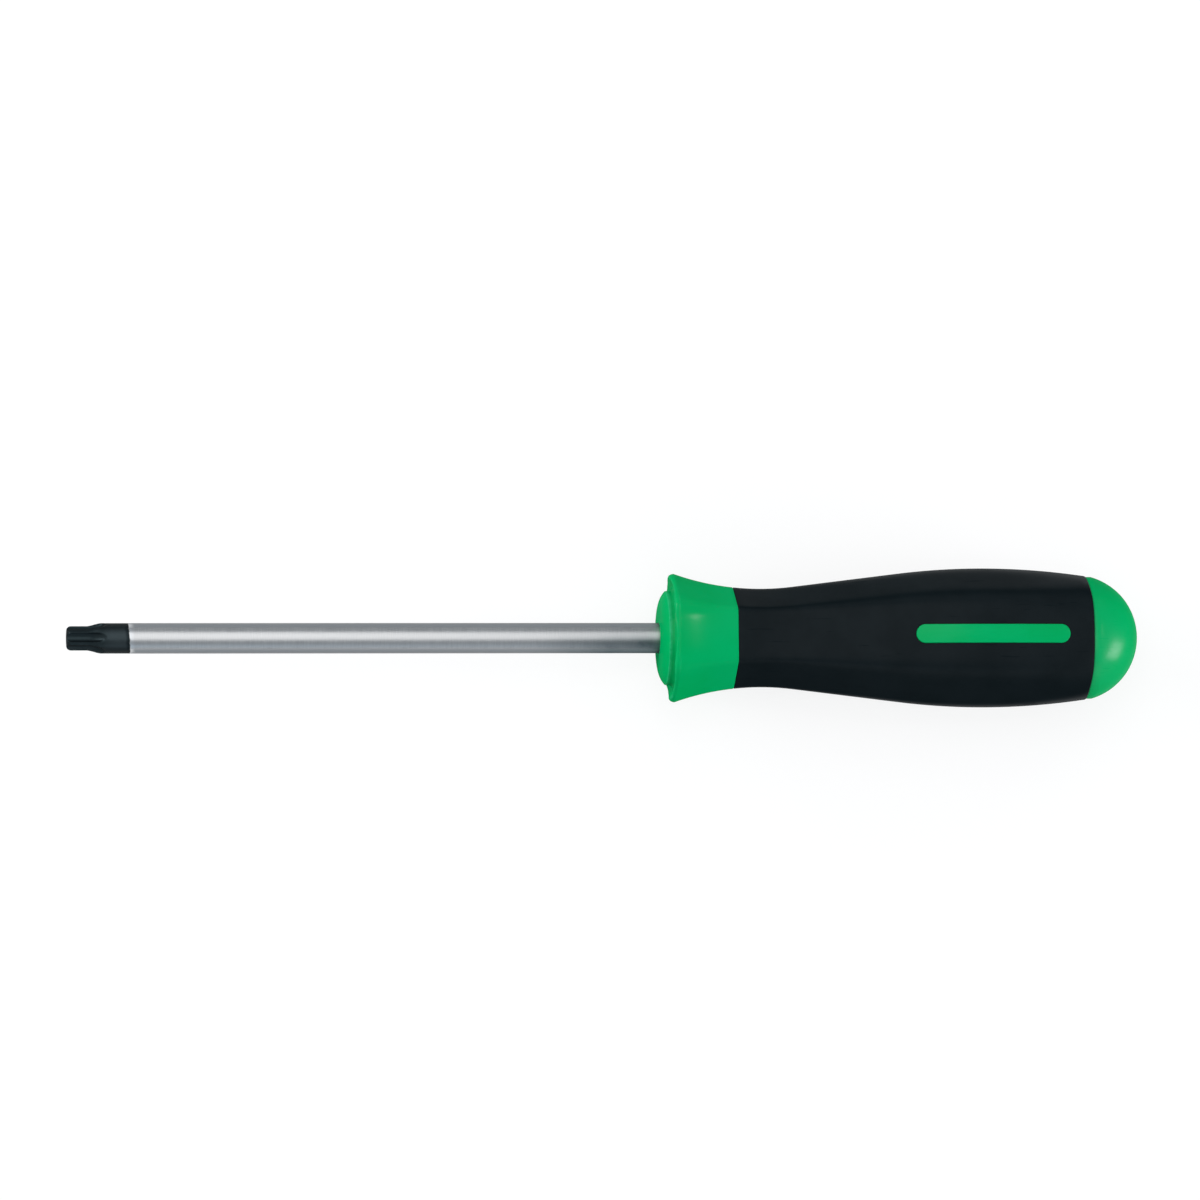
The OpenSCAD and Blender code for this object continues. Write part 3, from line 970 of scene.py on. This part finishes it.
# studio light: angles are from straight up, sideways towards +Y and along towards +X
# a soft lamp leaves no highlight
lamps = {
    "keyBox": {"side": 13, "along": -4.5, "far": 0.8, "size": (0.4, 0.9), "glow": 1.5},
    "sideBox": {"side": -67, "along": -8, "far": 0.9, "size": (0.4, 0.36), "glow": 0.42,
                "tint": (0.75, 1.0, 1.23)},
    "endBox": {"side": -48, "along": 71, "far": 1.0, "size": (0.36, 0.5), "glow": 10.5},
    "spotBox": {"side": 9.5, "along": 38.5, "far": 1.0, "size": (0.05, 0.03), "glow": 55.0},
    "fillHigh": {"side": 74, "along": 20, "far": 1.2, "size": (1.2, 0.8), "glow": 2.0, "soft": True},
    "fillLow": {"side": -74, "along": 16, "far": 1.2, "size": (1.2, 0.8), "glow": 1.85, "soft": True},
    "cornerBox": {"side": 56, "along": -48, "far": 1.0, "size": (0.4, 0.4), "glow": 5.0},
    "tipBox": {"side": 10, "along": -70, "far": 1.0, "size": (0.6, 0.45), "glow": 8.0, "soft": True},
}
aim = {"target": (0.13, 0, 0), "steep": 0.9}   # a lamp nearer the X axis is levelled by Y
world = {"colour": (0.9, 0.99, 1.08), "strength": 0.34}


def makeLamps():
    target = Vector(aim["target"])
    for name, lamp in lamps.items():
        side, along = radians(lamp["side"]), radians(lamp["along"])
        away = Vector((sin(along), sin(side) * cos(along), cos(side) * cos(along)))
        light = bpy.data.lights.new(name, "AREA")
        light.shape = "RECTANGLE"
        light.size, light.size_y = lamp["size"]
        light.energy = lamp["glow"] * pi * light.size * light.size_y
        light.color = lamp.get("tint", (1.0, 1.0, 1.0))
        lampObject = bpy.data.objects.new(name, light)
        lampObject.location = target + away * lamp["far"]
        back = away.normalized()
        level = Vector((1, 0, 0)) if abs(back.x) < aim["steep"] else Vector((0, 1, 0))
        right = (level - back * level.dot(back)).normalized()
        up = back.cross(right)
        lampObject.rotation_euler = Matrix((right, up, back)).transposed().to_euler()
        lampObject.visible_glossy = not lamp.get("soft", False)
        scene.collection.objects.link(lampObject)
    sky = bpy.data.worlds.new("studio")
    sky.use_nodes = True
    background = sky.node_tree.nodes["Background"]
    background.inputs["Color"].default_value = (*world["colour"], 1)
    background.inputs["Strength"].default_value = world["strength"]
    scene.world = sky
    print("lamps set:", ", ".join(lamps))


makeLamps()

# camera nearly straight above, leaning towards the tip and the near side
camera = {
    "middle": (123.52, 8.85, 0.0),   # mm, the point in the middle of the picture
    "leanTip": 6.4,
    "leanNear": 4.5,
    "far": 1.9,
    "pictureWidth": 277.9,          # mm across the picture at that point
    "sensor": 36.0,
    "clip": 50.0,                   # metres
}


def makeCamera():
    c = camera
    data = bpy.data.cameras.new("photoCamera")
    data.sensor_width = c["sensor"]
    data.lens = c["sensor"] * c["far"] / (c["pictureWidth"] * mm)
    data.clip_end = c["clip"]
    cam = bpy.data.objects.new("photoCamera", data)
    away = Vector((-tan(radians(c["leanTip"])), -tan(radians(c["leanNear"])), 1)).normalized()
    right = (Vector((1, 0, 0)) - away * away.x).normalized()
    up = away.cross(right)
    place = Vector(c["middle"]) * mm + away * c["far"]
    turn = Matrix((right, up, away)).transposed().to_4x4()
    cam.matrix_world = Matrix.Translation(place) @ turn
    scene.collection.objects.link(cam)
    scene.camera = cam
    print("camera set, lens", round(data.lens), "mm")


makeCamera()
scene.view_settings.view_transform = "Standard"
